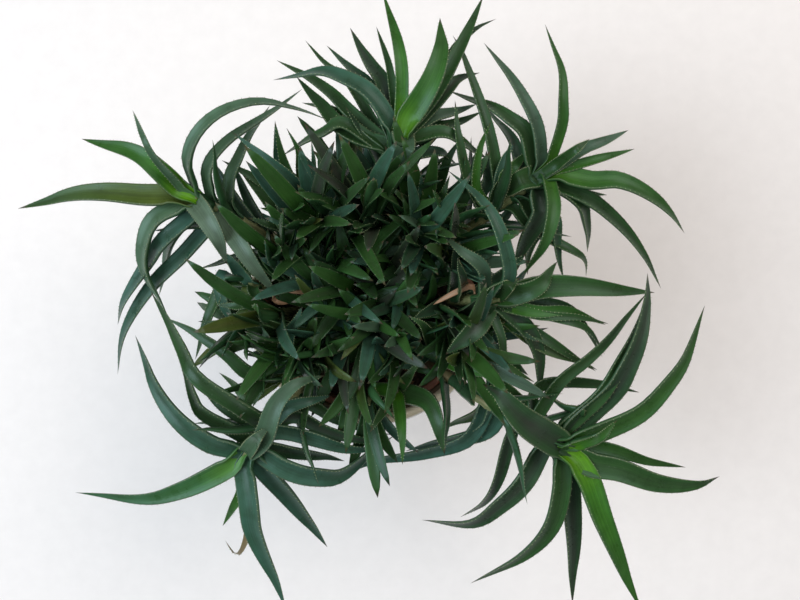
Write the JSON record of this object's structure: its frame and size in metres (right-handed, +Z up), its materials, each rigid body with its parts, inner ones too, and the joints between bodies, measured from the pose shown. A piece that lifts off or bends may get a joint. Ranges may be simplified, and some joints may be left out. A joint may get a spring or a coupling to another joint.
{
  "type": "potted aloe plant",
  "caption": "Clump of slender-leaved aloe in a plain round white pot: leafy stems arch out over the rim around a dense mound of young offsets.",
  "frame": {"origin": "centre of the pot's base, on the surface that it stands on", "axes": "+Z up along the pot's axis; +Y towards the top of the picture and +X towards its right, as the plant is seen from above"},
  "size_m": [0.5388, 0.4781, 0.2723],
  "materials": {
    "glazed_pot": "glazed earthenware, cream white",
    "inner_pot": "matt terracotta-brown plastic nursery pot",
    "soil": "dark crumbly potting mix",
    "leaf": "waxy green leaf with small pale marginal teeth",
    "offset_leaf": "waxy fresh green leaf"
  },
  "bodies": {
    "root": {"pot": "glazed_pot", "inner_pot": "inner_pot", "soil": "soil", "left_plant": "leaf", "low_left_plant": "leaf", "low_right_plant": "leaf", "right_plant": "leaf", "top_plant": "leaf", "mid_right_plant": "leaf", "low_mid_plant": "leaf", "low_left_small_plant": "leaf", "left_small_plant": "leaf", "north_west_offset": "leaf", "south_offset": "leaf", "south_east_offset": "leaf", "north_offset": "leaf", "offset_01": "offset_leaf", "offset_02": "offset_leaf", "offset_03": "offset_leaf", "offset_04": "offset_leaf", "offset_05": "offset_leaf", "offset_06": "offset_leaf", "offset_07": "offset_leaf", "offset_08": "offset_leaf", "offset_09": "offset_leaf", "offset_10": "offset_leaf", "offset_11": "offset_leaf", "offset_12": "offset_leaf", "offset_13": "offset_leaf", "offset_14": "offset_leaf", "offset_15": "offset_leaf", "offset_16": "offset_leaf", "offset_17": "offset_leaf", "offset_18": "offset_leaf", "offset_19": "offset_leaf", "offset_20": "offset_leaf", "offset_21": "offset_leaf", "offset_22": "offset_leaf", "offset_23": "offset_leaf"}
  },
  "joints": []
}
